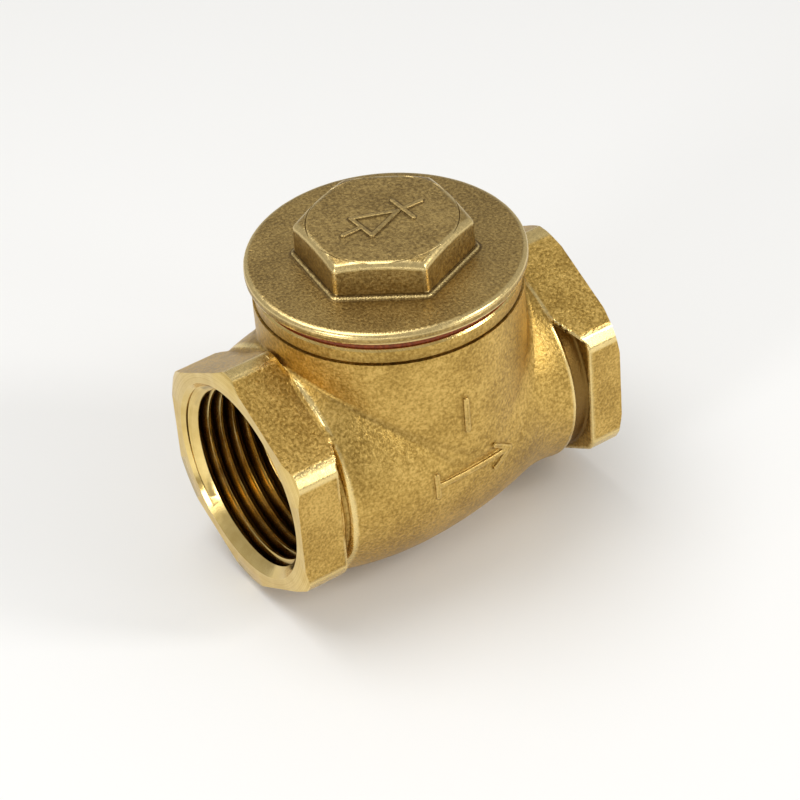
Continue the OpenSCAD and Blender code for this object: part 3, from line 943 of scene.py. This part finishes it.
# ---- Hinge pin, its plug and the plug's ring ---------------------------------------------------
# A ground stainless pin is pushed in from the side through the neck's wall and both sides of the arm.
# A small slotted brass plug on a fibre ring closes the hole in its spot-faced recess.

plug_thread_y = 10.8
plug_thread_root_r, plug_pitch = 2.5, 0.8
plug_ring_t = 0.5
plug_head_y = plug_face_y + plug_ring_t
plug_head_r = 3.8
plug_neck_r = 2.6
plug_head_h = 1.4
plug_socket_y = 13.2
slot_w = 1.0
slot_d = 0.8
on_pin = ((pin_x, 0, pin_z), -90, "X")
pin_tip_y = plug_socket_y - 0.05
pin = turned("hinge_pin", [
    (0, pin_end_y), (pin_r, pin_end_y, 0.3), (pin_r, pin_tip_y, 0.3), (0, pin_tip_y)], steps=48)
lay(pin, *on_pin)
ground_steel = turned_metal(
    "ground stainless", dark=(0.50, 0.49, 0.47), light=(0.70, 0.69, 0.67), rough=0.2, place=(pin_x, 0, pin_z),
    turn=(-90, 0, 0), mark=0.25)
shade(pin, ground_steel)
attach(pin, "valve_body")
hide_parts("hinge_pin")


def slot_cutter(name, reach, floor_z, width):
    """A straight slot across a head, open at the top."""
    points = [(sx * reach, sy * width / 2, z) for z in (floor_z, floor_z + 3) for sx, sy in
              ((-1, -1), (1, -1), (1, 1), (-1, 1))]
    faces = [(3, 2, 1, 0), (4, 5, 6, 7), (0, 1, 5, 4), (1, 2, 6, 5), (2, 3, 7, 6), (3, 0, 4, 7)]
    return new_mesh(name, points, faces)


plug_top_y = plug_head_y + plug_head_h
pin_plug = turned("pin_plug", [
    (0, plug_thread_y), (plug_thread_r - 0.5, plug_thread_y), (plug_thread_r + 0.1, plug_thread_y + 0.6),
    (plug_thread_r + 0.1, plug_face_y + 0.1), (0, plug_face_y + 0.1)], steps=64)
plug_thread = (plug_thread_r, plug_thread_root_r, plug_pitch, plug_thread_y, plug_face_y + 1)
cut_thread(pin_plug, plug_thread, None, 64, 8)
plug_head = turned("plug head", [
    (0, plug_face_y - 0.2), (plug_neck_r, plug_face_y - 0.2), (plug_neck_r, plug_head_y),
    (plug_head_r, plug_head_y, 0.15), (plug_head_r, plug_top_y, 0.4), (0, plug_top_y)], steps=64)
machine(pin_plug, plug_head, "UNION")
machine(pin_plug, slot_cutter("slot", plug_head_r + 1, plug_top_y - slot_d, slot_w))
machine(pin_plug, rod("socket", pin_r, plug_thread_y - 1, plug_socket_y, 48))
lay(pin_plug, *on_pin)
plug_brass = turned_metal(
    "turned plug brass", dark=(0.60, 0.43, 0.16), light=(0.86, 0.68, 0.32), rough=0.25,
    place=(pin_x, 0, pin_z), turn=(-90, 0, 0))
shade(pin_plug, plug_brass)
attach(pin_plug, "valve_body")
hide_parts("pin_plug")

plug_ring = turned("pin_plug_gasket", [
    (plug_thread_r, plug_face_y, 0.08), (plug_head_r, plug_face_y, 0.15), (plug_head_r, plug_head_y, 0.15),
    (plug_thread_r, plug_head_y, 0.08)], steps=64)
lay(plug_ring, *on_pin)
shade(plug_ring, fibre)
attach(plug_ring, "valve_body")
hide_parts("pin_plug_gasket")


# ---- Hinge arm ---------------------------------------------------------------------------------
# A pressed brass arm: a cross hub that swings on the pin, a flat strap behind the disc and a round
# eye that carries it. Edges are soft from tumbling, and the hub and the eye are drilled.

arm_u0, arm_u1 = 4.85, 7.35
arm_eye_r = 5.6
arm_hub_r = 2.9
arm_hub_w = 8.0
arm_strap_w = 6.0
arm_strap_taper = 0.04
arm_edge_round = 0.45
arm_eye_fillet = 2.0
hub_edge_round = 0.35
hub_fillet = 0.9
arm_wave_h = 0.006
pin_play = 0.04
lean = math.radians(seat_lean)
hub_u = (pin_x - seat_x) * math.cos(lean) + pin_z * math.sin(lean)
hub_v = pin_z * math.cos(lean) - (pin_x - seat_x) * math.sin(lean)


def pressed_arm(points):
    """Distance to the arm. u runs from the seat through the disc, and v up along the seat."""
    x, y, z = points[..., 0] - seat_x, points[..., 1], points[..., 2]
    u = x * math.cos(lean) + z * math.sin(lean)
    v = z * math.cos(lean) - x * math.sin(lean)
    thick = np.abs(u - (arm_u0 + arm_u1) / 2) - (arm_u1 - arm_u0) / 2
    across = np.abs(y) - arm_strap_w / 2 + arm_strap_taper * (v - hub_v)
    strap = np.maximum(across, np.maximum(-v, v - hub_v + 1))
    plate = fillet(np.hypot(y, v) - arm_eye_r, strap, arm_eye_fillet)
    plate = rounded(plate, thick, arm_edge_round)
    hub = rounded(np.hypot(u - hub_u, v - hub_v) - arm_hub_r, np.abs(y) - arm_hub_w / 2, hub_edge_round)
    return fillet(plate, hub, hub_fillet) + forging_waves(points, arm_wave_h)


seat_place = ((seat_x, 0, 0), 90 - seat_lean, "Y")
arm_grid = 0.24
arm = surface_mesh("hinge_arm", pressed_arm, [
    grid_line((16, arm_grid), end=27.5), grid_line((-6.3, arm_grid), end=6.3),
    grid_line((-6.3, arm_grid), end=22)])
hub_bore_r, hub_end = pin_r + pin_play, arm_hub_w / 2 - 0.25
pin_bore = turned("pin bore", [
    (0, -6), (pin_r + 2, -6), (hub_bore_r, -hub_end), (hub_bore_r, hub_end), (pin_r + 2, 6), (0, 6)],
    steps=64)
machine(arm, lay(pin_bore, *on_pin))
stud_r = 3.0
eye_bore_r = stud_r + pin_play
eye_bore = turned("eye bore", [
    (0, arm_u0 - 1), (stud_r + 1.3, arm_u0 - 1), (eye_bore_r, arm_u0 + 0.26), (eye_bore_r, arm_u1 - 0.26),
    (stud_r + 1.3, arm_u1 + 1), (0, arm_u1 + 1)], steps=64)
machine(arm, lay(eye_bore, *seat_place))
# Its darkest colour is painted shade for the arm's hollows.
arm_brass = forged_brass(
    "arm brass", dark=(0.38, 0.24, 0.07), middle=(0.56, 0.39, 0.14), light=(0.70, 0.52, 0.21),
    pale=(0.90, 0.74, 0.42), shade_tone=(0.22, 0.13, 0.04), rough=0.32, shade_strength=0.4)
flap_brass = turned_metal(
    "turned flap brass", dark=(0.58, 0.42, 0.16), light=(0.84, 0.66, 0.31), rough=0.24,
    place=(seat_x, 0, 0), turn=(0, 90 - seat_lean, 0))
shade(arm, arm_brass, flap_brass)


def no_marks(places):
    """Distance to marks on a piece that has none."""
    return np.full(len(places), far_off)


finish_forging(arm, pressed_arm, no_marks, nowhere, nowhere, nowhere)
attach(arm, "flap_arm")
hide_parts("hinge_arm")


# ---- Disc and its stud -------------------------------------------------------------------------
# Turned from brass bar in one piece: a plate with a rim that holds the seal in front, and behind it
# the threaded stud that goes through the arm's eye.

seal_t = 2.0
seal_r = 13.7
disc_r = 14.3
disc_back = 4.6
rim_front = 0.7
nut_u = 8.4
nut_t = 3.0
stud_end = 12.2
stud_root_r, stud_pitch = 2.45, 1.0
groove_r0, groove_r1, groove_d = 10.2, 11.2, 0.25
screw_play_r = 2.02
disc = turned("disc", [
    (0, seal_t), (seal_r, seal_t, 0.1), (seal_r, rim_front, 0.1), (disc_r, rim_front, 0.15),
    (disc_r, disc_back, 0.5), (groove_r1, disc_back), (groove_r1 - 0.2, disc_back - groove_d),
    (groove_r0 + 0.2, disc_back - groove_d), (groove_r0, disc_back), (0, disc_back)])
stud = turned("stud", [
    (0, disc_back - 0.5), (stud_r + 0.1, disc_back - 0.5), (stud_r + 0.1, stud_end - 0.6),
    (stud_r - 0.6, stud_end), (0, stud_end)], steps=64)
cut_thread(stud, (stud_r, stud_root_r, stud_pitch, disc_back - 0.6, stud_end), None, 64, 10)
machine(disc, stud, "UNION")
machine(disc, rod("screw hole", screw_play_r, 0, seal_t + 2.4, 48))
shade(lay(disc, *seat_place), flap_brass)
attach(disc, "flap_disc")
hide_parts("disc")


# ---- Seal --------------------------------------------------------------------------------------
# A moulded disc of black nitrile rubber that lies in the disc's rim and closes on the seat. Its face
# has a shallow ring pressed into it where it has met the seat.

dent = 0.06
seal_side_r = seal_r - 0.02
seal = turned("disc_seal", [
    (screw_play_r, 0), (seat_hole_r - 0.4, 0, 0.5), (seat_hole_r, dent, 0.5), (seat_land_r - 0.5, dent, 0.5),
    (seat_land_r - 0.35, 0, 0.3), (seal_side_r, 0.02, 0.25), (seal_side_r, seal_t, 0.1),
    (screw_play_r, seal_t, 0.1)])
lay(seal, *seat_place)


def nitrile():
    """Black rubber with a faint bloom."""
    material, tree, shader = new_material("nitrile rubber", 0.0)
    place = object_place(tree)
    bloom = noise(tree, place, 3.0, 5.0, 0.65)
    skin = noise(tree, place, 0.25, 2.0)
    colour = tones(tree, bloom, (0.35, (0.012, 0.012, 0.013)), (0.7, (0.04, 0.04, 0.042)))
    dress(tree, shader, colour, span(tree, bloom, 0.5, 0.75), skin, 0.25, 0.03)
    return material


shade(seal, nitrile())
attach(seal, "flap_disc")
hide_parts("disc_seal")


# ---- Seal retainer and its screw ---------------------------------------------------------------
# A turned brass washer with a bevelled edge clamps the seal, held by a slotted stainless screw that
# goes through the seal into the disc.

retainer_r = 9.5
retainer_t = 1.2
screw_r = 2.0
screw_head_r = 3.6
screw_head_h = 1.7
retainer_bevel = 0.6
retainer = turned("seal_retainer", [
    (screw_play_r, -retainer_t, 0.1), (retainer_r - retainer_bevel, -retainer_t, 0.1),
    (retainer_r, -retainer_t + retainer_bevel, 0.1), (retainer_r, -0.01, 0.1), (screw_play_r, -0.01)])
shade(lay(retainer, *seat_place), flap_brass)
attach(retainer, "flap_disc")
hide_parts("seal_retainer")

shank_end = seal_t + 2.3
shank_start = -retainer_t - 0.2
screw_root_r, screw_pitch = 1.65, 0.7
screw_top = -retainer_t - screw_head_h
screw = turned("retainer_screw", [
    (0, shank_start), (screw_r + 0.1, shank_start), (screw_r + 0.1, shank_end - 0.5),
    (screw_r - 0.5, shank_end), (0, shank_end)], steps=48)
cut_thread(screw, (screw_r, screw_root_r, screw_pitch, shank_start, shank_end), None, 48, 8)
screw_head = turned("screw head", [
    (0, screw_top), (screw_head_r - 0.2, screw_top, 0.6), (screw_head_r, -retainer_t - 0.3, 0.1),
    (screw_head_r, -retainer_t), (0, -retainer_t)], steps=64)
machine(screw, screw_head, "UNION")
machine(screw, slot_cutter("slot", screw_head_r + 1, screw_top + slot_d - 3, slot_w))
flap_steel = turned_metal(
    "turned stainless", dark=(0.48, 0.47, 0.45), light=(0.68, 0.67, 0.65), rough=0.24,
    place=(seat_x, 0, 0), turn=(0, 90 - seat_lean, 0), mark=0.3)
shade(lay(screw, *seat_place), flap_steel)
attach(screw, "flap_disc")
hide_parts("retainer_screw")


# ---- Arm washer and nut ------------------------------------------------------------------------
# A stamped stainless washer and a chamfered brass hexagon nut hold the disc on the arm, with enough
# play for the disc to turn and find its seat.

washer_r, washer_t, washer_hole_r = 5.4, 0.8, stud_r + 0.01
washer = turned("arm_washer", [
    (washer_hole_r, nut_u - washer_t, 0.1), (washer_r, nut_u - washer_t, 0.12), (washer_r, nut_u, 0.25),
    (washer_hole_r, nut_u, 0.1)], steps=96)
shade(lay(washer, *seat_place), flap_steel)
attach(washer, "flap_disc")
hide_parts("arm_washer")

nut_half_flats, nut_face_r, nut_bevel = 4.5, 4.4, 0.55
nut_end = nut_u + nut_t
nut_corner_r = nut_half_flats / math.cos(math.radians(30))
nut = rod("arm_nut", nut_corner_r, nut_u, nut_end, 6)
nut_blank = turned("nut blank", [
    (0, nut_u), (nut_face_r, nut_u), (nut_corner_r + 0.3, nut_u + nut_bevel),
    (nut_corner_r + 0.3, nut_end - nut_bevel), (nut_face_r, nut_end), (0, nut_end)], steps=96)
machine(nut, nut_blank, "INTERSECT")
nut_tap = rod("nut tap", stud_r + 1.5, nut_u - 1, nut_end + 1, 64)
nut_root_r, nut_crest_r = stud_r + 0.04, stud_root_r + 0.05
cut_thread(nut_tap, (nut_root_r, nut_crest_r, stud_pitch, disc_back - 0.6, nut_end + 1), None, 64, 10)
nut_mouths = turned("nut mouths", [
    (0, nut_u - 1), (stud_r + 1.3, nut_u - 1), (2.4, nut_u + 0.9), (2.4, nut_end - 0.9),
    (stud_r + 1.3, nut_end + 1), (0, nut_end + 1)], steps=64)
machine(nut, machine(nut_tap, nut_mouths, "UNION"))
shade(lay(nut, *seat_place), flap_brass)
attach(nut, "flap_disc")
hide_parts("arm_nut")


# ---- Studio ------------------------------------------------------------------------------------
# The valve stands on a plain pale floor under large soft lights, and a long lens looks down on its
# inlet and its side.

low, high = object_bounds()
floor_size = 1500.0
corners = [(-1, -1), (1, -1), (1, 1), (-1, 1)]
floor = new_mesh("floor", [(floor_size * a, floor_size * b, low[2] / MM) for a, b in corners], [(0, 1, 2, 3)])
floor_paint, _, floor_shader = new_material("floor paint", 0.0, Roughness=0.6)
floor_shader.inputs["Base Color"].default_value = (0.88, 0.88, 0.87, 1)
floor.data.materials.append(floor_paint)

scene = bpy.context.scene
scene.view_settings.view_transform = "Standard"
world = bpy.data.worlds.new("studio")
world.use_nodes = True
sky = world.node_tree.nodes["Background"]
sky.inputs["Color"].default_value = (1.0, 0.985, 0.96, 1)
sky.inputs["Strength"].default_value = 0.5
scene.world = world


def softbox(name, place, aim, size, power):
    """A rectangular area light at place, in metres, that faces aim."""
    light = bpy.data.lights.new(name, "AREA")
    light.shape = "RECTANGLE"
    light.size, light.size_y = size
    light.energy = power
    lamp = bpy.data.objects.new(name, light)
    facing = (Vector(place) - aim).to_track_quat("Z", "Y").to_matrix().to_4x4()
    lamp.matrix_world = Matrix.Translation(place) @ facing
    scene.collection.objects.link(lamp)


middle = Vector((cap_x * MM, 0, 0.005))
softbox("overhead", (-0.09, 0.17, 0.60), middle, (0.46, 0.38), 1.9)
softbox("left", (-0.43, -0.13, 0.17), middle, (0.12, 0.20), 0.6)
softbox("right", (0.35, -0.34, 0.29), middle, (0.10, 0.22), 0.9)
softbox("front", (0.28, -0.52, 0.17), middle, (0.14, 0.10), 0.3)
softbox("low", (-0.30, -0.50, 0.04), middle, (0.20, 0.05), 0.1)

camera_turn, camera_rise, camera_roll = (math.radians(a) for a in (-31.555, 37.726, -5.045))
camera_far, camera_right, camera_up = 0.5063, 0.000262, 0.000688
level = math.cos(camera_rise)
back = Vector((math.sin(camera_turn) * level, -math.cos(camera_turn) * level, math.sin(camera_rise)))
right = Vector((math.cos(camera_turn), math.sin(camera_turn), 0))
up = back.cross(right)
spot = Vector((cap_x * MM, 0, 0)) + camera_right * right + camera_up * up + camera_far * back
tilted_right = right * math.cos(camera_roll) + up * math.sin(camera_roll)
tilted_up = up * math.cos(camera_roll) - right * math.sin(camera_roll)
camera = bpy.data.objects.new("camera", bpy.data.cameras.new("camera"))
axes = Matrix((tilted_right, tilted_up, back)).transposed().to_4x4()
camera.matrix_world = Matrix.Translation(spot) @ axes
camera.data.sensor_width = 36
camera.data.lens = 138.3
camera.data.clip_start = 0.01
scene.collection.objects.link(camera)
scene.camera = camera
